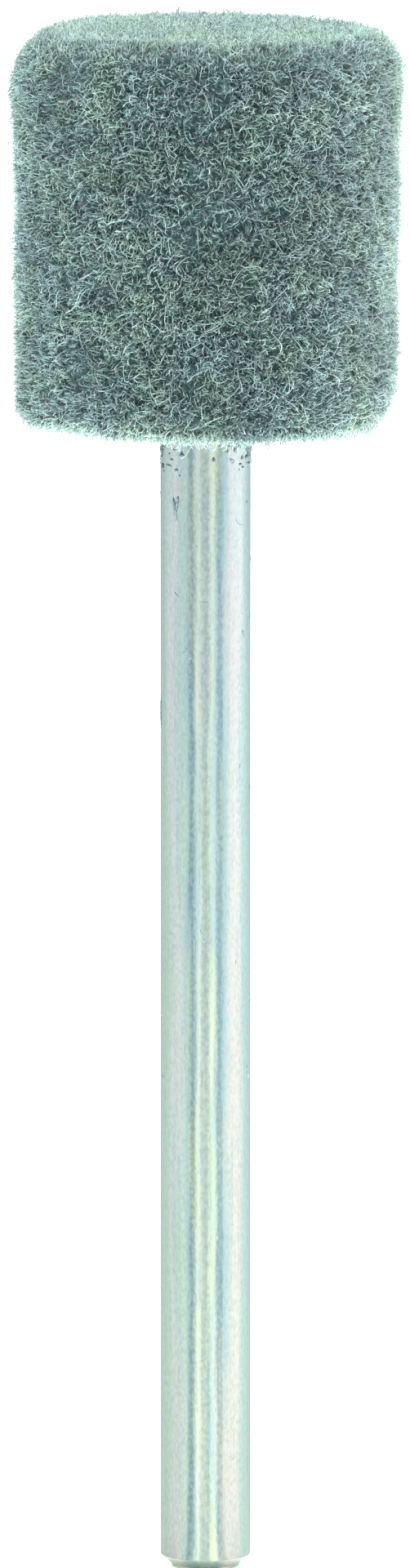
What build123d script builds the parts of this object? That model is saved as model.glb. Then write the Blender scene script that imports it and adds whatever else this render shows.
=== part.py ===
from build123d import *

import os

# A mounted felt polishing wheel: a small cylinder of hard pressed wool felt, bonded onto the
# end of a plain round steel shank that a rotary tool's collet grips.
#
# Frame: millimetres, +Z up along the axis the wheel spins about. The origin is the centre of
# the shank's free end, and the felt is at the top.

# Driving dimensions.
FELT_DIAMETER = 12.7
FELT_HEIGHT = 13.0
FELT_DRAFT = 0.12  # how much smaller the felt's radius is at its lower end
TOP_RIM_RADIUS = 0.95
LOW_RIM_RADIUS = 0.8
SHANK_DIAMETER = 3.0
SHANK_REACH = 38.4  # from the free end to the felt's underside
NOSE_RADIUS = 1.12  # the flat free end, which stands a little proud of its chamfer
NOSE_LENGTH = 0.08
NOSE_TAPER = 0.32  # the chamfer's height
SEAT_DEPTH = 9.4  # how far the shank goes into the felt
SEAT_END_CHAMFER = 0.3
GROOVE_COUNT = 4  # rolled rings in the seat, the first one just inside the felt's mouth
GROOVE_PITCH = 2.2
GROOVE_WIDTH = 0.6
GROOVE_DEPTH = 0.2
GLUE_FILM_AT_MOUTH = 0.16  # the punched bore is a little wider at its mouth than at its end
GLUE_FILM_AT_END = 0.06
GLUE_POOL = 0.3  # glue standing above the shank's seat end, in the blind bore
COLLAR_WIDTH = 0.32  # the ring of glue squeezed out round the shank under the felt
COLLAR_HEIGHT = 0.3

# Sizes and places that follow from them.
FELT_RADIUS = FELT_DIAMETER / 2
FELT_LOW_RADIUS = FELT_RADIUS - FELT_DRAFT
FELT_BOTTOM = SHANK_REACH
FELT_TOP = FELT_BOTTOM + FELT_HEIGHT
SHANK_RADIUS = SHANK_DIAMETER / 2
ROD_START = NOSE_LENGTH + NOSE_TAPER
SEAT_END = FELT_BOTTOM + SEAT_DEPTH
BORE_DEPTH = SEAT_DEPTH + GLUE_POOL


def make_shank():
    """The drawn rod: chamfered at both ends, with rolled rings in the end that the felt holds."""
    nose = extrude(Circle(NOSE_RADIUS), amount=NOSE_LENGTH)
    taper = Pos(0, 0, NOSE_LENGTH) * Cone(
        NOSE_RADIUS,
        SHANK_RADIUS,
        NOSE_TAPER,
        align=(Align.CENTER, Align.CENTER, Align.MIN),
    )
    rod = Pos(0, 0, ROD_START) * extrude(Circle(SHANK_RADIUS), amount=SEAT_END - ROD_START)
    rod = chamfer(rod.edges().sort_by(Axis.Z)[-1], SEAT_END_CHAMFER)
    rod = nose + taper + rod
    groove = extrude(
        Circle(SHANK_DIAMETER) - Circle(SHANK_RADIUS - GROOVE_DEPTH), amount=GROOVE_WIDTH
    )
    for ring in range(GROOVE_COUNT):
        rod -= Pos(0, 0, FELT_BOTTOM + ring * GROOVE_PITCH) * groove
    return rod


def make_bore():
    """The blind hole in the felt, open at the felt's underside."""
    return Pos(0, 0, FELT_BOTTOM) * Cone(
        SHANK_RADIUS + GLUE_FILM_AT_MOUTH,
        SHANK_RADIUS + GLUE_FILM_AT_END,
        BORE_DEPTH,
        align=(Align.CENTER, Align.CENTER, Align.MIN),
    )


def make_felt_head():
    """The felt cylinder, a little narrower below, with rounded rims and the blind bore."""
    outline = Polyline(
        (0, FELT_BOTTOM),
        (FELT_LOW_RADIUS, FELT_BOTTOM),
        (FELT_RADIUS, FELT_TOP),
        (0, FELT_TOP),
        close=True,
    )
    section = make_face(outline)
    section = fillet(section.vertices().sort_by(Axis.X)[-1], TOP_RIM_RADIUS)
    low_rim = section.vertices().sort_by(Axis.Y)[:2].sort_by(Axis.X)[-1]
    section = fillet(low_rim, LOW_RIM_RADIUS)
    return revolve(Plane.XZ * section, Axis.Z) - make_bore()


def make_adhesive_bond(shank):
    """The cured glue: a sleeve, the pool above the seat end and a ring squeezed out below."""
    collar = Pos(0, 0, FELT_BOTTOM - COLLAR_HEIGHT) * Cone(
        SHANK_RADIUS,
        SHANK_RADIUS + COLLAR_WIDTH,
        COLLAR_HEIGHT,
        align=(Align.CENTER, Align.CENTER, Align.MIN),
    )
    return make_bore() + collar - shank


def main():
    """Write one STEP file for each piece."""
    os.makedirs("parts", exist_ok=True)
    shank = make_shank()
    pieces = {
        "shank": shank,
        "felt_head": make_felt_head(),
        "adhesive_bond": make_adhesive_bond(shank),
    }
    for name, piece in pieces.items():
        export_step(piece, f"parts/{name}.step")
        print(name, "volume", round(piece.volume, 2), "mm3")


main()
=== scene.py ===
"""The looks of a felt polishing wheel: a cylinder of pressed wool felt on a plated steel shank.

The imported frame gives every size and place, in metres, with +Z up along the shank. The felt is a
matted body under a nap of real wool fibres. The shank and the glue keep their own solids, and get
their finishes here.
"""

import logging
import math
from dataclasses import dataclass
from enum import Enum

import bmesh
import bpy
import numpy as np
from mathutils import Matrix, Vector, noise


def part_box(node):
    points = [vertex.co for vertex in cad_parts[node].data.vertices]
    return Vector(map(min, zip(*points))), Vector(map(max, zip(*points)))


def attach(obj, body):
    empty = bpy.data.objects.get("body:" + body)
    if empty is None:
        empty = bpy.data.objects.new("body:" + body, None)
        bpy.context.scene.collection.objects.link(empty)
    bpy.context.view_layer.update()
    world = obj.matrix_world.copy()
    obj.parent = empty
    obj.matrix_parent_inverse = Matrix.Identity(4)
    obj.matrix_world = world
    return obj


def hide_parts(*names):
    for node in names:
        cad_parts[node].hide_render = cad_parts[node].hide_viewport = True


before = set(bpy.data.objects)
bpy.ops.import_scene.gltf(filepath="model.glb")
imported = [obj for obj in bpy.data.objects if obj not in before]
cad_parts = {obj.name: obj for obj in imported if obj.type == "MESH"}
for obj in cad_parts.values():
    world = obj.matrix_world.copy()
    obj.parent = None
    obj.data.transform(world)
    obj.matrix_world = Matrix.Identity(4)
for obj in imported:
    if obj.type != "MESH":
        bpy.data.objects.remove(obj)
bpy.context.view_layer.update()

MM = 0.001
BODY = "root"
TIP = "tip"  # a fibre's own number: 0 deep in the felt, 1 at its surface and outside
log = logging.getLogger("felt_wheel")

Pair = tuple[float, float]
Triple = tuple[float, float, float]
Colour = Triple
Socket = bpy.types.NodeSocket
Value = Socket | float | Colour  # what can feed a socket

WHOLE_TURN = (0.0, 2 * math.pi)
TINY = 1e-9  # keeps divisions away from zero


def direction(azimuth: float, elevation: float) -> Vector:
    """Point towards an azimuth, in degrees to the right from the front, -Y, and an elevation."""
    turn, lift = math.radians(azimuth), math.radians(elevation)
    return Vector(
        (math.sin(turn) * math.cos(lift), -math.cos(turn) * math.cos(lift), math.sin(lift))
    )


def around_stops(bands: list[tuple[float, Colour]]) -> list[tuple[float, Colour]]:
    """Turn colours at azimuths from -180 to 180 degrees into a ramp's stops from 0 to 1."""
    return [((azimuth + 180.0) / 360.0, colour) for azimuth, colour in bands]


# ---- Helpers for materials


class Wiring:
    """The shader nodes of one material, with short calls that add and join them."""

    def __init__(self, name: str) -> None:
        """Start a material with one Principled shader.

        Args:
            name: the material's name.
        """
        self.material = bpy.data.materials.new(name)
        self.material.use_nodes = True
        self.tree = self.material.node_tree
        self.shader = self.tree.nodes["Principled BSDF"]
        self.place = self.tree.nodes.new("ShaderNodeTexCoord").outputs["Object"]

    def feed(self, node: bpy.types.Node, **values: Value) -> None:
        """Feed a node's inputs: a link where the value is an output, or else the plain value.

        Args:
            node: the node.
            values: the inputs' identifiers, with _ for a space, and what each one gets.
        """
        sockets = {socket.identifier.replace(" ", "_"): socket for socket in node.inputs}
        for name, value in values.items():
            socket = sockets[name]
            if isinstance(value, Socket):
                self.tree.links.new(value, socket)
            else:
                is_colour = socket.type == "RGBA"
                socket.default_value = (*value, 1.0) if is_colour else value

    def set(self, **values: Value) -> None:
        """Feed the shader's own inputs."""
        self.feed(self.shader, **values)

    def add(self, kind: str, **values: Value) -> bpy.types.Node:
        """Add a node and feed its inputs.

        Args:
            kind: the node's kind.
            values: what its inputs get.

        Returns:
            The node.
        """
        node = self.tree.nodes.new("ShaderNode" + kind)
        self.feed(node, **values)
        return node

    def own(self, name: str) -> Socket:
        """Read a number that the mesh carries at its own points.

        Args:
            name: the number's name.

        Returns:
            The number.
        """
        node = self.add("Attribute")
        node.attribute_name = name
        return node.outputs["Fac"]

    def noise(
        self,
        feature: float,
        detail: float = 2.0,
        roughness: float = 0.5,
        stretch: Triple = (1.0, 1.0, 1.0),
        distortion: float = 0.0,
    ) -> Socket:
        """Lay cloudy noise through the object's own space.

        Args:
            feature: the size of one cloud, in metres.
            detail: how many finer layers are added.
            roughness: how strong the finer layers are.
            stretch: factors on the coordinates; a small one draws the pattern out.
            distortion: how much the clouds are pulled about.

        Returns:
            A value from 0 to 1.
        """
        node = self.add(
            "TexNoise",
            Vector=self.add("Mapping", Vector=self.place, Scale=stretch).outputs["Vector"],
            Scale=1.0 / feature,
            Detail=detail,
            Roughness=roughness,
            Distortion=distortion,
        )
        return node.outputs["Fac"]

    def axes(self) -> tuple[Socket, ...]:
        """Split the object coordinates into X, Y and Z."""
        return tuple(self.add("SeparateXYZ", Vector=self.place).outputs)

    def turn(self) -> Socket:
        """Find how far round the Z axis a point is, from 0 at the back by the left side to 1.

        Returns:
            A value from 0 to 1, and one half at the front.
        """
        x, y, _ = self.axes()
        angle = self.reckon("ARCTAN2", x, self.reckon("MULTIPLY", y, -1.0))
        return self.window(angle, -math.pi, math.pi)

    def ramp(self, value: Value, stops: list[tuple[float, Colour]]) -> Socket:
        """Turn a value into a colour.

        Args:
            value: the output to read.
            stops: places from 0 to 1, each with its colour.

        Returns:
            The colour.
        """
        node = self.add("ValToRGB", Fac=value)
        elements = node.color_ramp.elements
        while len(elements) < len(stops):
            elements.new(0.5)
        for element, (place, colour) in zip(elements, stops):
            element.position = place
            element.color = (*colour, 1.0)
        return node.outputs["Color"]

    def window(
        self, value: Value, low: float, high: float, start: float = 0.0, end: float = 1.0
    ) -> Socket:
        """Map the stretch from low to high onto start to end, held at both ends."""
        edges = {"From_Min": low, "From_Max": high, "To_Min": start, "To_Max": end}
        return self.add("MapRange", Value=value, **edges).outputs["Result"]

    def blend(self, share: Value, first: Value, second: Value, mode: str = "MIX") -> Socket:
        """Blend two colours.

        Args:
            share: how much of the second shows, from 0 to 1.
            first: the colour under it.
            second: the colour over it.
            mode: how the two are put together.

        Returns:
            The blended colour.
        """
        node = self.add("Mix")
        node.data_type = "RGBA"
        node.blend_type = mode
        self.feed(node, Factor_Float=share, A_Color=first, B_Color=second)
        outputs = {socket.identifier: socket for socket in node.outputs}
        return outputs["Result_Color"]

    def shade(self, colour: Value, cast: Value, share: float = 1.0) -> Socket:
        """Darken or tint a colour with another one, laid over it like a filter."""
        return self.blend(share, colour, cast, "MULTIPLY")

    def reckon(self, operation: str, first: Value, second: Value = 0.0) -> Socket:
        """Do one step of arithmetic.

        Args:
            operation: the step's name, such as ADD.
            first: the first number.
            second: the second number, where the step takes two.

        Returns:
            The result.
        """
        node = self.add("Math", Value=first, Value_001=second)
        node.operation = operation
        return node.outputs["Value"]

    def bump(self, height: Value, depth: float) -> None:
        """Raise the surface's shading by a pattern from 0 to 1, with 1 at the given depth."""
        node = self.add("Bump", Strength=1.0, Distance=depth, Height=height)
        self.set(Normal=node.outputs["Normal"])


# ---- Finishes


class Dye(Enum):
    """The wools that the felt is blended from, as (darker colour, lighter colour)."""

    SLATE = ((0.16, 0.25, 0.26), (0.23, 0.34, 0.35))
    TEAL = ((0.20, 0.36, 0.31), (0.26, 0.45, 0.39))
    SAGE = ((0.24, 0.41, 0.28), (0.32, 0.51, 0.36))
    MINT = ((0.29, 0.47, 0.38), (0.38, 0.57, 0.46))
    STRAW = ((0.31, 0.43, 0.19), (0.41, 0.52, 0.25))


@dataclass(frozen=True)
class WoolFibre:
    """The finish of loose wool fibres of one dye."""

    dye: Dye
    mottle: float = 0.35 * MM
    patch: float = 1.4 * MM
    swathe: float = 2.4 * MM
    gloom: tuple[tuple[float, Colour], ...] = (  # the light lost between fibres, by TIP
        (0.15, (0.09, 0.17, 0.18)),
        (0.65, (0.40, 0.52, 0.52)),
        (1.0, (0.93, 0.91, 0.875)),
    )

    def build(self) -> bpy.types.Material:
        """Make the material.

        Returns:
            The material.
        """
        wires = Wiring(f"wool_{self.dye.name.lower()}")
        dark, light = self.dye.value
        grain = wires.noise(self.mottle, detail=2.0)
        colour = wires.ramp(grain, [(0.38, dark), (0.62, light)])
        patch = wires.window(wires.noise(self.patch, detail=1.0), 0.35, 0.65)
        tint = wires.ramp(patch, [(0.0, (0.86, 0.92, 1.0)), (1.0, (0.95, 1.0, 0.78))])
        colour = wires.shade(colour, tint, share=0.6)
        depth = wires.window(wires.noise(self.swathe, detail=1.0), 0.36, 0.64)
        swathe = wires.ramp(depth, [(0.0, (0.70, 0.73, 0.76)), (1.0, (1.04, 1.04, 1.0))])
        colour = wires.shade(colour, swathe)
        gloom = wires.ramp(wires.own(TIP), list(self.gloom))
        wires.set(Base_Color=wires.shade(colour, gloom))
        wires.set(
            Roughness=0.8,
            Specular_IOR_Level=0.22,
            Sheen_Weight=0.35,
            Sheen_Roughness=0.45,
            Sheen_Tint=(0.98, 1.0, 0.88),
        )
        return wires.material


@dataclass(frozen=True)
class MattedWoolPaintedShade:
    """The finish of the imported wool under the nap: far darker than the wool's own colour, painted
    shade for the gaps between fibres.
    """

    thread: float = 0.10 * MM
    clump: float = 0.9 * MM

    def build(self) -> bpy.types.Material:
        """Make the material.

        Returns:
            The material.
        """
        wires = Wiring("wool_matted")
        threads = wires.noise(self.thread, detail=3.0, roughness=0.6, distortion=0.8)
        clumps = wires.noise(self.clump, detail=2.0)
        # Near-black colours: painted shade between the fibres, not the wool's own colour.
        colour = wires.ramp(
            threads,
            [
                (0.36, (0.014, 0.032, 0.033)),
                (0.52, (0.036, 0.072, 0.074)),
                (0.70, (0.10, 0.17, 0.165)),
            ],
        )
        cast = wires.ramp(clumps, [(0.30, (0.70, 0.76, 0.82)), (0.70, (1.0, 1.0, 0.94))])
        wires.set(Base_Color=wires.shade(colour, cast))
        wires.bump(threads, depth=0.04 * MM)
        wires.set(Roughness=0.95, Specular_IOR_Level=0.2, Sheen_Weight=0.15)
        return wires.material


class Tint(Enum):
    """The plate's faint rainbow colours; round its front they also serve as painted reflection
    colour.
    """

    GREEN = (0.59, 0.75, 0.65)
    PINK = (0.76, 0.77, 0.77)
    BLUE = (0.48, 0.67, 0.74)
    CREAM = (0.70, 0.80, 0.67)
    LILAC = (0.60, 0.72, 0.73)
    CYAN = (0.55, 0.75, 0.75)


@dataclass(frozen=True)
class PlatedSteel:
    """Bright zinc plate over drawn steel: drawn lines, fine mottle, faint rainbow tints, and painted
    reflection and shade.
    """

    line: float = 0.07 * MM
    drift: float = 0.50 * MM
    mottle: float = 0.09 * MM
    sway: float = 1.1 * MM  # the size of the slow waves in the surface
    relief: float = 0.004 * MM  # how deep the mottle is
    sway_share: float = 8.0  # how deep the slow waves are, against the mottle
    line_share: float = 0.5
    shake: float = 0.035  # how far the tints stray sideways, as a share of a whole turn
    tints: tuple[tuple[float, Tint], ...] = (  # each at its azimuth, in degrees from the front; near the front they tint the mirrored bands as painted reflection
        (-180.0, Tint.CYAN),
        (-130.0, Tint.PINK),
        (-90.0, Tint.GREEN),
        (-62.0, Tint.GREEN),
        (-46.0, Tint.PINK),
        (-36.0, Tint.LILAC),
        (-28.0, Tint.GREEN),
        (-20.0, Tint.BLUE),
        (-12.0, Tint.CREAM),
        (-3.0, Tint.LILAC),
        (6.0, Tint.CREAM),
        (12.0, Tint.GREEN),
        (18.0, Tint.BLUE),
        (25.0, Tint.LILAC),
        (33.0, Tint.PINK),
        (46.0, Tint.PINK),
        (58.0, Tint.CYAN),
        (90.0, Tint.GREEN),
        (140.0, Tint.PINK),
        (180.0, Tint.CYAN),
    )

    def build(self) -> bpy.types.Material:
        """Make the material.

        Returns:
            The material.
        """
        wires = Wiring("zinc_plated_steel")
        lines = wires.noise(self.line, detail=3.0, stretch=(1.0, 1.0, 0.012))
        mottle = wires.noise(self.mottle, detail=3.0, stretch=(1.0, 1.0, 0.55))
        sway = wires.noise(self.sway, detail=2.0, stretch=(1.0, 1.0, 0.25))
        wires.set(Base_Color=self.plate_colour(wires, lines, mottle))
        wires.set(Roughness=wires.window(mottle, 0.3, 0.7, 0.13, 0.22))
        height = wires.reckon("ADD", mottle, wires.reckon("MULTIPLY", sway, self.sway_share))
        height = wires.reckon("ADD", height, wires.reckon("MULTIPLY", lines, self.line_share))
        wires.bump(height, depth=self.relief)
        wires.set(Metallic=1.0)
        return wires.material

    def plate_colour(self, wires: Wiring, lines: Socket, mottle: Socket) -> Socket:
        """Mix the plate's tints (partly painted reflection), lines, mottle and a painted shade up the
        shank.

        Args:
            wires: the material's nodes.
            lines: the drawn lines' pattern.
            mottle: the fine mottle's pattern.

        Returns:
            The colour.
        """
        drift = wires.noise(self.drift, detail=2.0, stretch=(1.0, 1.0, 0.06))
        stray = wires.window(drift, 0.3, 0.7, -self.shake, self.shake)
        # The plate's rainbow tints, and round its front painted reflection colour: bluish on the
        # mirrored dark bands, creamy and green on the light ones.
        tints = [(azimuth, tint.value) for azimuth, tint in self.tints]
        colour = wires.ramp(wires.reckon("ADD", wires.turn(), stray), around_stops(tints))
        # Darker towards the felt, lighter and warmer towards the free end: painted shade and light
        # for the change in what the shank mirrors along its length.
        low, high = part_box("shank")
        rise = wires.window(wires.axes()[2], low.z, high.z)
        painted_height_shade = wires.ramp(rise, [(0.15, (1.04, 1.01, 0.92)), (0.80, (0.90, 0.90, 0.91))])
        colour = wires.shade(colour, painted_height_shade)
        streaks = wires.ramp(lines, [(0.30, (0.88, 0.92, 0.93)), (0.60, (1.0, 1.0, 1.0))])
        colour = wires.shade(colour, streaks, share=0.8)
        grain = wires.ramp(mottle, [(0.34, (0.80, 0.85, 0.86)), (0.58, (1.0, 1.0, 1.0))])
        return wires.shade(colour, grain, share=0.8)


@dataclass(frozen=True)
class PlainFinish:
    """A finish of two near colours in a fine grain, with or without relief."""

    name: str
    grain: float
    dark: Colour
    light: Colour
    roughness: float
    relief: float = 0.0
    metallic: float = 0.0
    specular: float = 0.5

    def build(self) -> bpy.types.Material:
        """Make the material.

        Returns:
            The material.
        """
        wires = Wiring(self.name)
        grain = wires.noise(self.grain, detail=2.0)
        if self.relief:
            wires.bump(grain, depth=self.relief)
        wires.set(
            Base_Color=wires.ramp(grain, [(0.3, self.dark), (0.7, self.light)]),
            Roughness=self.roughness,
            Metallic=self.metallic,
            Specular_IOR_Level=self.specular,
        )
        return wires.material


TARNISH = PlainFinish(
    name="tarnish",
    grain=0.06 * MM,
    dark=(0.07, 0.11, 0.12),
    light=(0.19, 0.26, 0.26),
    roughness=0.55,
    relief=0.01 * MM,
    metallic=0.3,
)
CURED_GLUE = PlainFinish(
    name="cured_glue",
    grain=0.15 * MM,
    dark=(0.025, 0.040, 0.042),
    light=(0.09, 0.125, 0.125),
    roughness=0.3,
    relief=0.03 * MM,
)
STUDIO_PAPER = PlainFinish(
    name="studio_paper",
    grain=1.5 * MM,
    dark=(0.94, 0.94, 0.94),
    light=(0.96, 0.96, 0.96),
    roughness=0.9,
    specular=0.1,
)


# ---- The felt


@dataclass(frozen=True)
class FeltShape:
    """The felt's outer surface: a cylinder about Z with a round rim above and below."""

    radius: float
    bottom: float
    top: float
    mouth: float  # the radius of the hollow round the shank
    bore_top: float
    nap_rise: float = 0.05 * MM  # how far the surface stands outside the solid's wall
    mouth_share: float = 0.9  # the hollow's radius, as a share of the glue ring's
    top_rim: float = 0.95 * MM
    low_rim: float = 0.62 * MM
    root_step: float = 0.05 * MM  # the spacing of the rows where fibres can start
    comb_reach: float = 1.5  # how far the rims comb the fibres, in rim radii
    side_comb: float = 1.1  # how strongly the fibres on the right lean sideways
    side_start: float = 0.1  # how far left of the middle that begins, in radii
    side_bands: Pair = (9.0, 5.0)  # how fast the sideways comb swaps, up and across
    droop: float = 1.6  # how strongly the low rim's fibres lean down
    draft: float = 0.12 * MM  # how much narrower the low end is
    worn_corner: float = 0.55 * MM  # how far the low rim is worn back on the right
    worn_top: float = 0.34 * MM  # how far the top rim is worn back all round
    worn_left: float = 0.75  # how much more of that on the left, and less on the right
    worn_reach: Pair = (2.9, 2.2)  # how far the wear reaches, low and high, in rim radii
    lip: float = 0.10 * MM  # how far the wall swells just under the top rim
    lip_drop: float = 1.7  # how far under the top it swells most, in rim radii
    lip_spread: float = 0.25  # how gently the swelling fades
    wave: float = 0.018 * MM
    waves: tuple[Triple, ...] = (  # lobes round the wall, rate up it, and start, in radians
        (3.0, 700.0, 0.0),
        (7.0, -1500.0, 1.0),
        (13.0, 2600.0, 2.0),
    )
    tilt: float = 0.012  # the slope of the underside
    crown: float = 0.10 * MM
    top_tilt: float = 0.018
    worn_shoulder: float = 0.22 * MM  # how far the top is worn down at its left edge
    aside: float = 0.03 * MM  # how far the felt stands off the shank's own line
    end_share: float = 0.25  # the share of the height that the tilts of the ends reach

    @classmethod
    def from_frame(cls) -> "FeltShape":
        """Read the felt's size from its own node.

        Returns:
            The shape.
        """
        low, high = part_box("felt_head")
        bond_low, bond_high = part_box("adhesive_bond")
        return cls(
            radius=(high.x - low.x) / 2 + cls.nap_rise,
            bottom=low.z,
            top=high.z,
            mouth=cls.mouth_share * (bond_high.x - bond_low.x) / 2,
            bore_top=bond_high.z,
        )

    def outline(self, inset: float, step: float) -> np.ndarray:
        """Draw half of the section, from the hollow's edge below to the top's centre.

        Args:
            inset: how far inside the outer surface the outline runs.
            step: the distance between points.

        Returns:
            An array of points (radius, height).
        """
        wall = self.radius - inset
        floor = self.bottom + inset
        roof = self.top - inset
        low_rim = self.low_rim - inset
        top_rim = self.top_rim - inset
        runs = [
            line((self.mouth, floor), (wall - low_rim, floor), step),
            arc((wall - low_rim, floor + low_rim), low_rim, -90.0, 0.0, step),
            line((wall, floor + low_rim), (wall, roof - top_rim), step),
            arc((wall - top_rim, roof - top_rim), top_rim, 0.0, 90.0, step),
            line((wall - top_rim, roof), (0.0, roof), step),
        ]
        return np.vstack([run[:-1] for run in runs] + [runs[-1][-1:]])

    def probe(self, points: np.ndarray) -> tuple[np.ndarray, np.ndarray]:
        """Find how far points stand outside the surface, and which way is out there.

        Args:
            points: an array of N places.

        Returns:
            N heights, and N unit normals.
        """
        middle = (self.top + self.bottom) / 2
        half = (self.top - self.bottom) / 2
        above = points[:, 2] > middle
        rim = np.where(above, self.top_rim, self.low_rim)
        around = np.hypot(points[:, 0], points[:, 1])
        across = around - (self.radius - rim)
        up = np.abs(points[:, 2] - middle) - (half - rim)
        outside = np.hypot(np.maximum(across, 0), np.maximum(up, 0))
        height = outside + np.minimum(np.maximum(across, up), 0) - rim
        by_side = np.where(across > up, 1.0, 0.0)
        in_corner = outside > TINY
        length = np.maximum(outside, TINY)
        sideways = np.where(in_corner, np.maximum(across, 0) / length, by_side)
        upwards = np.where(in_corner, np.maximum(up, 0) / length, 1 - by_side)
        upwards = upwards * np.where(above, 1.0, -1.0)
        safe = np.maximum(around, TINY)
        normal = [sideways * points[:, 0] / safe, sideways * points[:, 1] / safe, upwards]
        return height, np.stack(normal, axis=1)

    def comb(self, places: np.ndarray) -> np.ndarray:
        """Find the fibres' lean: down at the low rim, up at the top one, sideways on the right.

        Args:
            places: an array of N places.

        Returns:
            N leanings, of any length.
        """
        x, y, z = places.T
        around = np.maximum(np.hypot(x, y), TINY)
        low = fade(z - self.bottom, self.comb_reach * self.low_rim)
        high = fade(self.top - z, self.comb_reach * self.top_rim)
        side = self.side_comb * np.clip(x / self.radius + self.side_start, 0.0, 1.0)
        side = side * (1.0 - low) * (1.0 - high)
        up, across = self.side_bands
        sway = np.sign(np.sin(up * z / MM + across * x / MM))
        lean = [-side * sway * y / around, side * sway * x / around, high - self.droop * low]
        return np.stack(lean, axis=1)

    def settle(self, places: np.ndarray) -> np.ndarray:
        """Put the felt a little out of true, as a pressed and worn wheel is.

        Args:
            places: an array of places on or near the true surface, x, y and z last.

        Returns:
            The same places, moved.
        """
        x, y, z = np.moveaxis(places, -1, 0)
        around = np.maximum(np.hypot(x, y), TINY)
        above = (z - self.bottom) / (self.top - self.bottom)
        low_reach, top_reach = self.worn_reach
        near_low = fade(z - self.bottom, low_reach * self.low_rim) ** 2
        near_top = fade(self.top - z, top_reach * self.top_rim) ** 2
        to_right = np.clip(x / self.radius, 0.0, 1.0) ** 2
        edge = np.clip(around / self.radius, 0.0, 1.0) ** 4
        worn_top = self.worn_top * near_top * (1.0 - self.worn_left * x / self.radius)
        worn = self.worn_corner * near_low * to_right + worn_top
        from_lip = (self.top - z) / (self.lip_drop * self.top_rim) - 1.0
        swell = self.lip * np.exp(-(from_lip**2) / self.lip_spread)
        inward = self.draft * (1.0 - above) + worn * edge - swell
        turn = np.arctan2(y, x)
        wave = sum(np.sin(lobes * turn + rate * z + start) for lobes, rate, start in self.waves)
        scale = 1.0 + (self.wave * wave - inward) / self.radius
        sunk = self.tilt * x * fade(above, self.end_share)
        crown = self.crown * np.clip(1.0 - (around / self.radius) ** 2, 0.0, 1.0)
        crown = crown - self.worn_shoulder * np.clip(-x / self.radius, 0.0, 1.0) ** 2
        lift = (crown - self.top_tilt * x) * fade(1.0 - above, self.end_share)
        return np.stack([x * scale + self.aside, y * scale, z - sunk + lift], axis=-1)

    def roots(self, count: int, sector: Pair, span: Pair, rng: np.random.Generator) -> np.ndarray:
        """Spread places evenly over part of the surface.

        Args:
            count: how many places.
            sector: the first and last azimuth, in radians.
            span: the first and last height, in metres.
            rng: the source of chance.

        Returns:
            An array of count places.
        """
        outline = self.outline(0.0, self.root_step)
        start, end = outline[:-1], outline[1:]
        area = np.hypot(*(end - start).T) * (start[:, 0] + end[:, 0])
        middle = (start[:, 1] + end[:, 1]) / 2
        area = area * ((middle >= span[0]) & (middle <= span[1]))
        chosen = rng.choice(len(area), count, p=area / area.sum())
        share = rng.random((count, 1))
        place = start[chosen] * (1 - share) + end[chosen] * share
        azimuth = rng.uniform(*sector, count)
        radius, height = place.T
        return np.stack([radius * np.cos(azimuth), radius * np.sin(azimuth), height], axis=1)


def fade(distance: np.ndarray, reach: float) -> np.ndarray:
    """Fall evenly from 1 where the distance is none to 0 at the reach."""
    return np.clip(1.0 - distance / reach, 0.0, 1.0)


def unit(vectors: np.ndarray) -> np.ndarray:
    """Give the same directions with a length of 1."""
    return vectors / np.maximum(np.linalg.norm(vectors, axis=-1, keepdims=True), TINY)


def line(start: Pair, end: Pair, step: float) -> np.ndarray:
    """Space points evenly from start to end, both included."""
    count = max(2, round(math.dist(start, end) / step) + 1)
    return np.linspace(start, end, count)


def arc(centre: Pair, radius: float, first: float, last: float, step: float) -> np.ndarray:
    """Space points evenly on an arc, both ends included.

    Args:
        centre: the arc's centre.
        radius: its radius.
        first: the first point's direction, in degrees.
        last: the last point's direction, in degrees.
        step: the distance between points.

    Returns:
        An array of points.
    """
    count = max(4, round(math.radians(abs(last - first)) * radius / step) + 1)
    turn = np.radians(np.linspace(first, last, count))
    across, up = centre
    return np.stack([across + radius * np.cos(turn), up + radius * np.sin(turn)], axis=1)


def link(name: str, mesh: bpy.types.Mesh) -> bpy.types.Object:
    """Put a mesh in the scene as a piece of the object's one body.

    Args:
        name: the piece's name.
        mesh: its mesh.

    Returns:
        The piece.
    """
    piece = bpy.data.objects.new(name, mesh)
    bpy.context.scene.collection.objects.link(piece)
    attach(piece, BODY)
    return piece


def make_mesh(
    name: str, shell: bmesh.types.BMesh, finish: bpy.types.Material, smooth: bool = False
) -> bpy.types.Mesh:
    """Turn a working mesh into a named mesh of one finish.

    Args:
        name: the mesh's name.
        shell: the working mesh, which is freed.
        finish: the mesh's material.
        smooth: whether its faces are shaded as one round surface.

    Returns:
        The mesh.
    """
    for face in shell.faces:
        face.smooth = smooth
    mesh = bpy.data.meshes.new(name)
    shell.to_mesh(mesh)
    shell.free()
    mesh.materials.append(finish)
    return mesh


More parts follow.
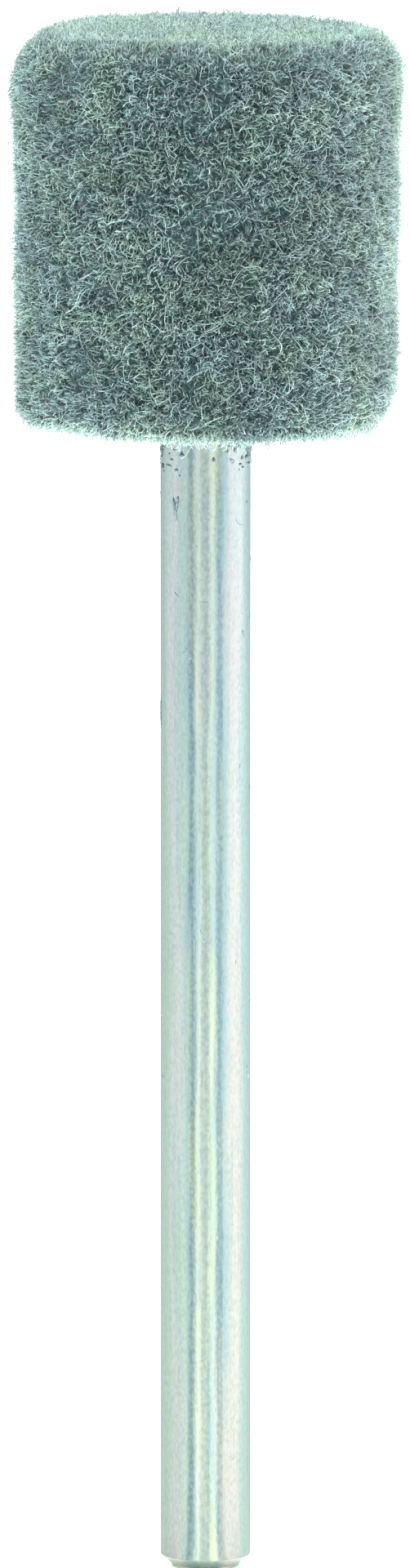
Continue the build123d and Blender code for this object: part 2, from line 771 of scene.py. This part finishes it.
@dataclass
class FeltBody:
    """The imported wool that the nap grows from."""

    shape: FeltShape
    inset: float = 0.40 * MM
    step: float = 0.16 * MM
    turns: int = 240
    clump: float = 0.45 * MM
    relief: float = 0.10 * MM
    fineness: float = 2.7  # how many times smaller the fine clumps are
    fine_share: float = 0.4
    weld: float = 1e-7

    def build(self) -> bpy.types.Object:
        """Spin the outline, raise its clumps and dress it.

        Returns:
            The piece.
        """
        skin = self.shape.outline(self.inset, self.step)
        shell = bmesh.new()
        outline = np.vstack([self.bore(skin[0, 1]), skin])
        corners = [shell.verts.new((radius, 0.0, height)) for radius, height in outline]
        edges = [shell.edges.new(pair) for pair in zip(corners, corners[1:])]
        bmesh.ops.spin(
            shell,
            geom=corners + edges,
            cent=(0, 0, 0),
            axis=(0, 0, 1),
            angle=WHOLE_TURN[1],
            steps=self.turns,
            use_merge=True,
        )
        bmesh.ops.remove_doubles(shell, verts=shell.verts, dist=self.weld)
        bmesh.ops.recalc_face_normals(shell, faces=shell.faces)
        for corner in shell.verts:
            corner.co += corner.normal * self.lift(corner.co)
            corner.co = self.shape.settle(np.array(corner.co))
        mesh = make_mesh("felt_body", shell, MattedWoolPaintedShade().build(), smooth=True)
        piece = link("felt_body", mesh)
        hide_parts("felt_head")
        return piece

    def bore(self, floor: float) -> np.ndarray:
        """Draw the blind bore, from its end on the axis down to the body's underside.

        Args:
            floor: the height of the body's underside.

        Returns:
            An array of points, without the last one at the underside.
        """
        mouth, end = self.shape.mouth, self.shape.bore_top
        across = line((0.0, end), (mouth, end), self.step)
        down = line((mouth, end), (mouth, floor), self.step)
        return np.vstack([across[:-1], down[:-1]])

    def lift(self, place: Vector) -> float:
        """Find how far the clumps raise or sink the surface.

        Args:
            place: a place on the surface.

        Returns:
            The rise, in metres.
        """
        coarse = noise.noise(place / self.clump)
        fine = noise.noise(place / self.clump * self.fineness)
        return self.relief * ((1.0 - self.fine_share) * coarse + self.fine_share * fine)


@dataclass(frozen=True)
class FibreKind:
    """How one kind of fibre grows."""

    points: int  # along the fibre, both ends included
    length: float
    spread: float  # how much lengths differ, as a share
    thickness: float
    depth: float  # how far below the outer surface it starts
    ceiling: float  # the height above the outer surface where it starts to turn back
    rise: Pair  # the flattest and steepest it leaves the felt, in degrees
    curl: float  # how far it turns over its length, in radians
    widths: Pair = (0.75, 1.25)  # the thinnest and thickest, as shares of the thickness
    depths: Pair = (0.6, 1.0)  # the shallowest and deepest start, as shares of the depth
    curls: Pair = (0.3, 1.4)  # the straightest and most bent, as shares of the curl
    wander: float = 0.25
    thinning: float = 0.25  # how much thinner it is towards its free end
    ceiling_spread: float = 0.09 * MM
    return_height: float = 0.1 * MM  # over what height above the ceiling it is turned back
    tuft: float = 0.28 * MM  # the size of the tufts that it gathers in
    swathe: float = 3.5  # the size of the broad swathes of tufts, in tufts
    gathering: Pair = (3.0, 1.6)  # how strongly it gathers in tufts, and in swathes


SHORT = FibreKind(4, 0.42 * MM, 0.30, 0.037 * MM, 0.40 * MM, 0.03 * MM, (40.0, 88.0), 1.8)
SHEARED = FibreKind(4, 0.34 * MM, 0.30, 0.032 * MM, 0.26 * MM, 0.02 * MM, (35.0, 80.0), 1.5)
FUZZ = FibreKind(6, 0.48 * MM, 0.35, 0.022 * MM, 0.20 * MM, 0.14 * MM, (30.0, 90.0), 1.8)
CURL = FibreKind(6, 0.50 * MM, 0.30, 0.035 * MM, 0.32 * MM, 0.02 * MM, (25.0, 80.0), 2.7)
STRAND = FibreKind(9, 0.80 * MM, 0.50, 0.031 * MM, 0.14 * MM, 0.03 * MM, (5.0, 45.0), 2.0)
STRAY = FibreKind(9, 0.85 * MM, 0.60, 0.026 * MM, 0.20 * MM, 0.20 * MM, (25.0, 80.0), 1.6)
WISP = FibreKind(14, 1.70 * MM, 0.40, 0.024 * MM, 0.20 * MM, 0.45 * MM, (40.0, 90.0), 2.6)


@dataclass
class WoolNap:
    """One piece of nap: many fibres of one kind over part of the felt."""

    name: str
    shape: FeltShape
    kind: FibreKind
    count: int
    sector: Pair  # the first and last azimuth, in radians
    span: Pair  # the lowest and highest place
    dyes: dict[Dye, float]
    seed: int
    patch: float = 1.3 * MM  # the size of the loose patches of one dye
    patchiness: float = 0.9
    pale_top: float = 0.8  # how much more of the pale dyes there is towards the top

    def build(self, finishes: dict[Dye, bpy.types.Material]) -> bpy.types.Object:
        """Grow the fibres and make them one mesh.

        Args:
            finishes: the material of each dye.

        Returns:
            The piece.
        """
        rng = np.random.default_rng(self.seed)
        paths = self.grow(rng)
        tips, _ = self.shape.probe(paths.reshape(-1, 3))
        tips = np.clip(1.0 + tips / SHORT.depth, 0.0, 1.0)
        paths = self.shape.settle(paths)
        shades = self.pick_dyes(paths[:, 0], rng)
        widths = rng.uniform(*self.kind.widths, (self.count, 1)) * self.taper()
        mesh = strands_mesh(self.name, paths, widths, shades, tips, self.kind.thickness)
        for dye in self.dyes:
            mesh.materials.append(finishes[dye])
        piece = link(self.name, mesh)
        return piece

    def taper(self) -> np.ndarray:
        """Give the share of the full thickness at each point, with both ends pointed."""
        along = np.linspace(0.0, 1.0, self.kind.points)
        return np.sqrt(1.0 - (2.0 * along - 1.0) ** 4) * (1.0 - self.kind.thinning * along)

    def grow(self, rng: np.random.Generator) -> np.ndarray:
        """Walk each fibre out of the felt, turning as it goes.

        Args:
            rng: the source of chance.

        Returns:
            An array of count by points places.
        """
        kind = self.kind
        place = self.shape.roots(2 * self.count, self.sector, self.span, rng)
        in_tufts, in_swathes = kind.gathering
        fine, broad = cloud(place, kind.tuft), cloud(place, kind.swathe * kind.tuft)
        likely = np.exp(in_tufts * fine + in_swathes * broad)
        place = place[rng.choice(len(place), self.count, replace=False, p=likely / likely.sum())]
        _, out = self.shape.probe(place)
        place = place - out * kind.depth * rng.uniform(*kind.depths, (self.count, 1))
        flat = unit(np.cross(out, rng.normal(size=(self.count, 3))))
        flat = unit(flat + self.shape.comb(place))
        rise = np.radians(rng.uniform(*kind.rise, (self.count, 1)))
        heading = flat * np.cos(rise) + out * np.sin(rise)
        stretch = 1.0 + kind.spread * rng.uniform(-1.0, 1.0, (self.count, 1))
        step = kind.length * stretch / (kind.points - 1)
        turn = kind.curl / (kind.points - 1) * rng.uniform(*kind.curls, (self.count, 1))
        hinge = unit(rng.normal(size=(self.count, 3)))
        ceiling = kind.ceiling + kind.ceiling_spread * rng.normal(size=(self.count, 1))
        path = [place]
        for _ in range(kind.points - 1):
            place = place + heading * step
            path.append(place)
            height, out = self.shape.probe(place)
            over = np.clip((height[:, None] - ceiling) / kind.return_height, 0.0, 1.0)
            wander = kind.wander * rng.normal(size=(self.count, 3))
            heading = unit(heading + turn * np.cross(hinge, heading) + wander * turn - over * out)
        return np.stack(path, axis=1)

    def pick_dyes(self, places: np.ndarray, rng: np.random.Generator) -> np.ndarray:
        """Choose each fibre's dye, in loose patches.

        Args:
            places: where the fibres start.
            rng: the source of chance.

        Returns:
            The index of each fibre's dye.
        """
        shares = np.array(list(self.dyes.values()))
        pale = cloud(places, self.patch)
        middle = (self.shape.top + self.shape.bottom) / 2
        if self.kind is not SHEARED:
            pale = pale + self.pale_top * (places[:, 2] - middle) / (self.shape.top - middle)
        tilt = np.linspace(-1.0, 1.0, len(shares))
        weights = shares * np.exp(self.patchiness * pale[:, None] * tilt)
        edges = np.cumsum(weights / weights.sum(axis=1, keepdims=True), axis=1)
        return (rng.random((len(places), 1)) > edges[:, :-1]).sum(axis=1)


def cloud(places: np.ndarray, size: float) -> np.ndarray:
    """Read cloudy noise of one size at each place, from about -1 to 1."""
    return np.array([noise.noise(Vector(place) / size) for place in places])


def strands_mesh(
    name: str,
    paths: np.ndarray,
    widths: np.ndarray,
    shades: np.ndarray,
    tips: np.ndarray,
    thickness: float,
) -> bpy.types.Mesh:
    """Make three-sided, pointed tubes along many paths.

    Args:
        name: the mesh's name.
        paths: an array of fibres by points places.
        widths: the share of the thickness at each of those points.
        shades: each fibre's material index.
        tips: the number TIP at each point.
        thickness: the full thickness, in metres.

    Returns:
        The mesh.
    """
    sides = 3
    weld = 1e-8
    section = bpy.data.curves.new(name + "_section", "CURVE")
    ring = section.splines.new("POLY")
    ring.points.add(sides - 1)
    for side, point in enumerate(ring.points):
        angle = -2 * math.pi * side / sides  # turned this way, the tubes' walls face outwards
        point.co = (math.cos(angle) * thickness / 2, math.sin(angle) * thickness / 2, 0.0, 1.0)
    ring.use_cyclic_u = True
    section_object = bpy.data.objects.new(name + "_section", section)
    curve = bpy.data.curves.new(name, "CURVE")
    curve.dimensions = "3D"
    curve.bevel_mode = "OBJECT"
    curve.bevel_object = section_object
    count, length = paths.shape[:2]
    places = np.concatenate([paths, np.ones((count, length, 1))], axis=2).reshape(count, -1)
    for place, width, shade in zip(places, widths, shades):
        spline = curve.splines.new("POLY")
        spline.points.add(length - 1)
        spline.points.foreach_set("co", place)
        spline.points.foreach_set("radius", width)
        spline.material_index = int(shade)
    carrier = bpy.data.objects.new(name + "_curve", curve)
    bpy.context.scene.collection.objects.link(carrier)
    bpy.context.scene.collection.objects.link(section_object)
    graph = bpy.context.evaluated_depsgraph_get()
    mesh = bpy.data.meshes.new_from_object(carrier.evaluated_get(graph))
    mesh.name = name
    bpy.data.objects.remove(carrier)
    bpy.data.objects.remove(section_object)
    bpy.data.curves.remove(curve)
    bpy.data.curves.remove(section)
    lay_out_cells(mesh, count)
    carried = mesh.attributes.new(TIP, "FLOAT", "POINT")
    carried.data.foreach_set("value", np.repeat(tips, sides))
    welded = bmesh.new()
    welded.from_mesh(mesh)
    bmesh.ops.remove_doubles(welded, verts=welded.verts, dist=weld)
    welded.to_mesh(mesh)
    welded.free()
    mesh.materials.clear()
    return mesh


def lay_out_cells(mesh: bpy.types.Mesh, count: int) -> None:
    """Give each fibre its own cell of the texture map.

    Args:
        mesh: tubes from one curve, whose walls come in the curve's order.
        count: how many fibres it holds.
    """
    margin = 0.1
    layer = mesh.uv_layers[0]
    layer.name = "OFBake"
    places = np.empty(len(mesh.loops) * 2)
    layer.data.foreach_get("uv", places)
    places = places.reshape(count, -1, 2)
    columns = math.ceil(math.sqrt(count))
    fibre = np.arange(count)
    cell = np.stack([fibre % columns, fibre // columns], axis=1)[:, None, :]
    places = (cell + margin + (1.0 - 2.0 * margin) * places) / columns
    layer.data.foreach_set("uv", places.ravel())


def slices(parts: int) -> list[Pair]:
    """Cut the whole turn into equal parts, each from its first to its last azimuth."""
    width = WHOLE_TURN[1] / parts
    return [(index * width, (index + 1) * width) for index in range(parts)]


@dataclass
class FeltHead:
    """The whole felt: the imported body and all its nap."""

    shape: FeltShape
    sectors: int = 6
    short_per_mm2: float = 138.0
    curls_per_mm2: float = 15.0
    strands_per_mm2: float = 3.0
    fuzz: int = 4000
    strays: int = 500
    wisps: int = 80
    blend: tuple[float, ...] = (0.20, 0.30, 0.28, 0.11, 0.11)  # the share of each dye, in their order
    pale_blend: tuple[float, ...] = (0.04, 0.28, 0.26, 0.36, 0.06)
    side_rims: float = 0.25  # the share of each rim that belongs to the side's nap
    end_rims: float = 0.4  # the share of the top rim left out of an end's area
    skirt_rims: float = 0.6  # how far up the skirt reaches, in low rims

    def build(self) -> list[bpy.types.Object]:
        """Build the body and the nap.

        Returns:
            The pieces.
        """
        finishes = {dye: WoolFibre(dye).build() for dye in Dye}
        pieces = [FeltBody(self.shape).build()]
        pieces += [nap.build(finishes) for nap in self.naps()]
        return pieces

    def naps(self) -> list[WoolNap]:
        """Plan every piece of nap: its kind, count, sector, span and seed.

        Returns:
            The pieces of nap, not yet built.
        """
        shape = self.shape
        side = (
            shape.bottom + self.side_rims * shape.low_rim,
            shape.top - self.side_rims * shape.top_rim,
        )
        whole = (shape.bottom - MM, shape.top + MM)
        skirt = (whole[0], shape.bottom + self.skirt_rims * shape.low_rim)
        side_area = 2 * math.pi * shape.radius * (side[1] - side[0]) / MM**2
        end_area = math.pi * (shape.radius - self.end_rims * shape.top_rim) ** 2 / MM**2
        half_area = (side_area + 2 * end_area) / 2
        on_sector = round(side_area / self.sectors * self.short_per_mm2)
        on_end = round(end_area * self.short_per_mm2)
        curls = round(half_area * self.curls_per_mm2)
        strands = round(half_area * self.strands_per_mm2)
        rows = [
            (f"nap_side_{index + 1}", SHORT, on_sector, sector, side, 10 + index)
            for index, sector in enumerate(slices(self.sectors))
        ]
        rows += [
            ("nap_top", SHEARED, on_end, WHOLE_TURN, (side[1], whole[1]), 30),
            ("nap_underside", SHORT, on_end, WHOLE_TURN, (whole[0], side[0]), 31),
        ]
        for index, sector in enumerate(slices(2)):
            rows += [
                (f"nap_curls_{index + 1}", CURL, curls, sector, whole, 40 + index),
                (f"nap_strands_{index + 1}", STRAND, strands, sector, whole, 50 + index),
            ]
        rows += [
            ("nap_fuzz", FUZZ, self.fuzz, WHOLE_TURN, whole, 60),
            ("nap_strays", STRAY, self.strays, WHOLE_TURN, whole, 70),
            ("nap_fringe", STRAY, self.strays, WHOLE_TURN, skirt, 71),
            ("nap_wisps", WISP, self.wisps, WHOLE_TURN, whole, 72),
            ("nap_tails", WISP, self.wisps, WHOLE_TURN, skirt, 73),
        ]
        return [self.nap(*row) for row in rows]

    def nap(
        self, name: str, kind: FibreKind, count: int, sector: Pair, span: Pair, seed: int
    ) -> WoolNap:
        """Plan one piece of nap in the blend of wools that its kind has."""
        shares = self.pale_blend if kind in (SHEARED, STRAND, STRAY) else self.blend
        return WoolNap(name, self.shape, kind, count, sector, span, dict(zip(Dye, shares)), seed)


# ---- The shank and the glue


@dataclass(frozen=True)
class Mark:
    """One dark scratch or trace on the shank."""

    azimuth: float  # degrees round from the front, positive to the right
    drop: float  # how far below the felt it starts, in mm
    length: float  # in mm
    lean: float  # its first direction, in degrees from straight down
    bend: float  # how far it turns along its length, in degrees
    width: float  # in mm

    def path(self, radius: float, start: float, points: int) -> np.ndarray:
        """Follow the mark over the shank's surface.

        Args:
            radius: the shank's radius.
            start: the height of the felt's underside.
            points: how many points to give.

        Returns:
            An array of points.
        """
        step = self.length * MM / (points - 1)
        headings = np.radians(self.lean + self.bend * np.linspace(0.0, 1.0, points - 1))
        around = np.append(0.0, np.cumsum(np.sin(headings) * step / radius))
        turn = np.radians(self.azimuth) + around
        height = start - self.drop * MM - np.append(0.0, np.cumsum(np.cos(headings) * step))
        return np.stack([radius * np.sin(turn), -radius * np.cos(turn), height], axis=1)


@dataclass(frozen=True)
class Rod:
    """The stretch of the shank that shows, from its free end to the felt."""

    radius: float
    length: float
    top: float

    @classmethod
    def from_frame(cls) -> "Rod":
        """Read the rod's size from the shank's and the felt's own nodes.

        Returns:
            The rod.
        """
        low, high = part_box("shank")
        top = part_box("felt_head")[0].z
        return cls(radius=(high.x - low.x) / 2, length=top - low.z, top=top)


@dataclass
class Scratches:
    """The dark marks on the shank, with many tiny ticks among them."""

    marks: tuple[Mark, ...] = (
        Mark(-45.0, 2.35, 0.95, 9.0, 6.0, 0.165),
        Mark(-37.0, 2.30, 0.75, -9.0, -8.0, 0.125),
        Mark(-59.0, 1.30, 0.30, 70.0, 20.0, 0.160),
        Mark(-76.0, 1.05, 0.14, 10.0, 0.0, 0.110),
        Mark(55.0, 1.35, 0.14, 20.0, 0.0, 0.110),
        Mark(66.0, 1.00, 0.18, -20.0, 0.0, 0.120),
        Mark(74.0, 1.25, 0.16, 10.0, 0.0, 0.110),
        Mark(-43.0, 5.5, 0.28, 35.0, 30.0, 0.060),
        Mark(-8.0, 5.8, 0.34, 84.0, 10.0, 0.051),
        Mark(-27.0, 7.35, 0.42, 75.0, -220.0, 0.085),
        Mark(34.0, 1.20, 0.42, 60.0, 330.0, 0.068),
        Mark(42.0, 3.1, 0.50, 30.0, 60.0, 0.043),
        Mark(-80.0, 9.1, 1.20, 2.0, 3.0, 0.085),
        Mark(-7.0, 16.7, 0.70, 12.0, 25.0, 0.060),
        Mark(-3.0, 17.4, 0.45, -20.0, 30.0, 0.051),
        Mark(55.0, 6.8, 0.30, 10.0, 10.0, 0.051),
        Mark(66.0, 21.4, 0.60, 15.0, 0.0, 0.051),
        Mark(150.0, 3.4, 0.90, 10.0, 8.0, 0.085),
        Mark(-140.0, 9.4, 0.60, -25.0, 60.0, 0.068),
        Mark(110.0, 18.4, 0.80, 5.0, -10.0, 0.068),
    )
    ticks: int = 70
    tick_margins: Pair = (0.3, 1.0)  # how near the felt and the free end the ticks come, in mm
    tick_length: Pair = (0.06, 0.22)
    tick_width: Pair = (0.02, 0.05)
    tick_lean: float = 40.0
    tick_bend: float = 30.0
    points: int = 9  # along each mark
    seed: int = 81

    def build(self, rod: Rod) -> bpy.types.Object:
        """Lay the marks on the rod.

        Args:
            rod: the stretch of rod that shows.

        Returns:
            The piece.
        """
        marks = [*self.marks, *self.pick_ticks(rod.length / MM)]
        paths = np.stack([mark.path(rod.radius, rod.top, self.points) for mark in marks])
        along = np.linspace(-1.0, 1.0, self.points)
        widths = np.array([[mark.width * MM] for mark in marks]) * np.sqrt(1.0 - along**2)
        shades = np.zeros(len(marks), dtype=int)
        mesh = strands_mesh("shank_scratches", paths, widths, shades, np.ones(paths.size // 3), 1.0)
        mesh.materials.append(TARNISH.build())
        piece = link("shank_scratches", mesh)
        return piece

    def pick_ticks(self, reach: float) -> list[Mark]:
        """Draw the tiny ticks by chance.

        Args:
            reach: the length of rod that shows, in mm.

        Returns:
            The ticks.
        """
        rng = np.random.default_rng(self.seed)
        near, far = self.tick_margins
        return [
            Mark(
                azimuth=rng.uniform(-180.0, 180.0),
                drop=rng.uniform(near, reach - far),
                length=rng.uniform(*self.tick_length),
                lean=rng.normal(0.0, self.tick_lean),
                bend=rng.normal(0.0, self.tick_bend),
                width=rng.uniform(*self.tick_width),
            )
            for _ in range(self.ticks)
        ]


@dataclass
class GlueCrumbs:
    """The crumbs of glue on the shank just under the felt."""

    count: int = 190
    groups: tuple[float, ...] = (-66.0, 52.0, 180.0)  # their middles' azimuths, in degrees
    scatter: float = 0.35  # how far they stray round the shank from there, in radians
    gap: float = 0.05 * MM
    reach: float = 0.45 * MM
    size: Pair = (0.025, 0.095)  # in mm
    stretch: Pair = (0.6, 1.8)
    height: float = 0.5
    lump_rise: float = 0.35
    lump_size: float = 1.2
    segments: tuple[int, int] = (8, 5)  # round each crumb, and up it
    seed: int = 82

    def build(self, rod: Rod, glue: bpy.types.Material) -> bpy.types.Object:
        """Scatter the crumbs over the rod.

        Args:
            rod: the stretch of rod that shows.
            glue: the glue's finish.

        Returns:
            The piece.
        """
        rng = np.random.default_rng(self.seed)
        shell = bmesh.new()
        for _ in range(self.count):
            azimuth = math.degrees(rng.normal(0.0, self.scatter)) + rng.choice(self.groups)
            drop = self.gap + rng.exponential(self.reach)
            size = rng.uniform(*self.size) * MM
            out = direction(azimuth, 0.0)
            place = out * rod.radius + Vector((0.0, 0.0, rod.top - drop))
            turn = out.to_track_quat("Z", "Y").to_matrix().to_4x4()
            scale = (size, size * rng.uniform(*self.stretch), self.height * size, 1.0)
            matrix = Matrix.Translation(place) @ turn @ Matrix.Diagonal(scale)
            around, up = self.segments
            new = bmesh.ops.create_uvsphere(
                shell, u_segments=around, v_segments=up, radius=1.0, matrix=matrix
            )
            for corner in new["verts"]:
                push = self.lump_rise * size * noise.noise(corner.co / (self.lump_size * size))
                corner.co += (corner.co - place).normalized() * push
        mesh = make_mesh("glue_crumbs", shell, glue, smooth=True)
        piece = link("glue_crumbs", mesh)
        return piece


@dataclass
class Shank:
    """The plated rod with its scratches, and the glue that holds it with the crumbs it left."""

    rod: Rod

    def build(self) -> list[bpy.types.Object]:
        """Dress the two solids and add the marks and crumbs.

        Returns:
            The pieces.
        """
        finishes = {"shank": PlatedSteel().build(), "adhesive_bond": CURED_GLUE.build()}
        pieces = []
        for name, finish in finishes.items():
            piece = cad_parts[name]
            piece.data.materials.clear()
            piece.data.materials.append(finish)
            pieces.append(piece)
        pieces.append(Scratches().build(self.rod))
        pieces.append(GlueCrumbs().build(self.rod, finishes["adhesive_bond"]))
        return pieces


# ---- The studio


def face(thing: bpy.types.Object, target: Vector, back: Vector, distance: float) -> None:
    """Stand a light or camera back from a point, facing it."""
    thing.location = target + back * distance
    thing.rotation_euler = (-back).to_track_quat("-Z", "Y").to_euler()


@dataclass(frozen=True)
class Softbox:
    """One rectangular light that faces the object."""

    name: str
    azimuth: float  # degrees round from the camera's side, positive to the right
    elevation: float
    distance: float
    width: float
    height: float
    radiance: float

    def build(self, target: Vector) -> bpy.types.Object:
        """Hang the light.

        Args:
            target: the point that it faces.

        Returns:
            The light.
        """
        back = direction(self.azimuth, self.elevation)
        lamp = bpy.data.lights.new(self.name, "AREA")
        lamp.shape = "RECTANGLE"
        lamp.size = self.width
        lamp.size_y = self.height
        lamp.energy = self.radiance * math.pi * self.width * self.height
        light = bpy.data.objects.new(self.name, lamp)
        bpy.context.scene.collection.objects.link(light)
        face(light, target, back, self.distance)
        light.visible_camera = False
        light.visible_glossy = False
        return light


@dataclass(frozen=True)
class BandedCard:
    """Grey paper round the shank's foot, in bands like a clock's hours, for the shank to mirror."""

    radius: float = 0.9
    lift: float = 0.02 * MM
    bands: tuple[Pair, ...] = (  # each grey at its azimuth, in degrees from the front
        (-180.0, 0.14),
        (-150.0, 0.17),
        (-115.0, 0.20),
        (-75.0, 0.22),
        (-55.0, 0.25),
        (-46.0, 0.25),
        (-36.0, 0.11),
        (-28.0, 0.19),
        (-19.0, 0.36),
        (-11.0, 0.24),
        (-4.0, 0.21),
        (6.0, 0.20),
        (14.0, 0.34),
        (23.0, 0.36),
        (31.0, 0.17),
        (40.0, 0.18),
        (49.0, 0.29),
        (65.0, 0.27),
        (85.0, 0.28),
        (120.0, 0.23),
        (150.0, 0.18),
        (180.0, 0.14),
    )
    dark_cast: Colour = (0.86, 1.0, 1.08)
    light_cast: Colour = (1.03, 1.0, 0.93)
    foot: float = 2.1 * MM  # the pale round patch right under the shank
    foot_grey: float = 0.60
    foot_fade: float = 1.3  # where the patch has faded out, in its own radii
    corners: int = 64

    def build(self) -> bpy.types.Object:
        """Lay the card just over the floor.

        Returns:
            The card.
        """
        sheet = bmesh.new()
        bmesh.ops.create_circle(sheet, cap_ends=True, segments=self.corners, radius=self.radius)
        bmesh.ops.translate(sheet, vec=(0.0, 0.0, self.lift), verts=sheet.verts)
        mesh = make_mesh("banded_card", sheet, self.finish())
        card = bpy.data.objects.new("banded_card", mesh)
        bpy.context.scene.collection.objects.link(card)
        card.visible_camera = False
        card.visible_diffuse = False
        card.visible_shadow = False
        return card

    def finish(self) -> bpy.types.Material:
        """Paint the bands round the card's centre, and the patch in the middle.

        Returns:
            The material.
        """
        wires = Wiring("banded_paper")
        paints = [(azimuth, self.paint(grey)) for azimuth, grey in self.bands]
        bands = wires.ramp(wires.turn(), around_stops(paints))
        x, y, _ = wires.axes()
        square = wires.reckon("MULTIPLY", x, x)
        square = wires.reckon("ADD", square, wires.reckon("MULTIPLY", y, y))
        away = wires.reckon("SQRT", square)
        outside = wires.window(away, self.foot, self.foot_fade * self.foot)
        wires.set(Base_Color=wires.blend(outside, (self.foot_grey,) * 3, bands))
        wires.set(Roughness=0.9, Specular_IOR_Level=0.1)
        return wires.material

    def paint(self, grey: float) -> Colour:
        """Tint a grey: the darkest band bluish, the lightest one creamy.

        Args:
            grey: the band's grey.

        Returns:
            The band's colour.
        """
        greys = [band[1] for band in self.bands]
        share = (grey - min(greys)) / (max(greys) - min(greys))
        casts = zip(self.dark_cast, self.light_cast)
        return tuple(grey * (dark + share * (light - dark)) for dark, light in casts)


@dataclass
class Studio:
    """Floor, lights and camera."""

    camera_distance: float = 0.52
    camera_elevation: float = 8.0
    lens: float = 360.0
    sensor: float = 36.0
    clip: Pair = (0.01, 100.0)
    aim_height: float = 26.32 * MM
    aim_aside: float = -0.015 * MM
    air: float = 1.1  # the strength of the even light all round
    floor_size: float = 8.0
    lights: tuple[Softbox, ...] = (
        Softbox("top_light", 0.0, 88.0, 0.60, 0.7, 0.7, 6.1),
        Softbox("left_light", -100.0, 30.0, 0.60, 0.50, 0.8, 5.6),
        Softbox("right_light", 100.0, 30.0, 0.60, 0.50, 0.8, 8.3),
        Softbox("foot_light", 0.0, -90.0, 0.026, 0.09, 0.09, 8.8),
    )

    def build(self) -> None:
        """Set up the air, the floor, the card, the lights and the camera."""
        scene = bpy.context.scene
        scene.view_settings.view_transform = "Standard"
        self.fill_air(scene)
        self.lay_floor()
        BandedCard().build()
        for light in self.lights:
            light.build(Vector((0.0, 0.0, self.aim_height)))
        self.place_camera(scene)

    def fill_air(self, scene: bpy.types.Scene) -> None:
        """Surround the object with even white light.

        Args:
            scene: the scene to light.
        """
        world = bpy.data.worlds.new("studio_air")
        world.use_nodes = True
        background = world.node_tree.nodes["Background"]
        background.inputs["Color"].default_value = (1.0, 1.0, 1.0, 1.0)
        background.inputs["Strength"].default_value = self.air
        scene.world = world

    def lay_floor(self) -> None:
        """Lay the pale floor under the shank's end."""
        sheet = bmesh.new()
        bmesh.ops.create_grid(sheet, x_segments=1, y_segments=1, size=self.floor_size)
        mesh = make_mesh("floor", sheet, STUDIO_PAPER.build())
        floor = bpy.data.objects.new("floor", mesh)
        bpy.context.scene.collection.objects.link(floor)

    def place_camera(self, scene: bpy.types.Scene) -> None:
        """Place the camera a little above the object, looking slightly down.

        Args:
            scene: the scene that it looks at.
        """
        lens = bpy.data.cameras.new("camera")
        lens.lens = self.lens
        lens.sensor_width = self.sensor
        lens.clip_start, lens.clip_end = self.clip
        camera = bpy.data.objects.new("camera", lens)
        scene.collection.objects.link(camera)
        target = Vector((self.aim_aside, 0.0, self.aim_height))
        face(camera, target, direction(0.0, self.camera_elevation), self.camera_distance)
        scene.camera = camera


def corners(box: tuple[Vector, Vector]) -> list[list[float]]:
    """Give a box's two corners as plain lists."""
    return [list(corner) for corner in box]


def main() -> None:
    """Build the object and its studio, and report each piece."""
    logging.basicConfig(level=logging.INFO, format="%(name)s: %(message)s")
    shape = FeltShape.from_frame()
    for part in (FeltHead(shape), Shank(Rod.from_frame())):
        for piece in part.build():
            log.info("%s has %d faces", piece.name, len(piece.data.polygons))
    Studio().build()


if __name__ == "__main__":
    main()
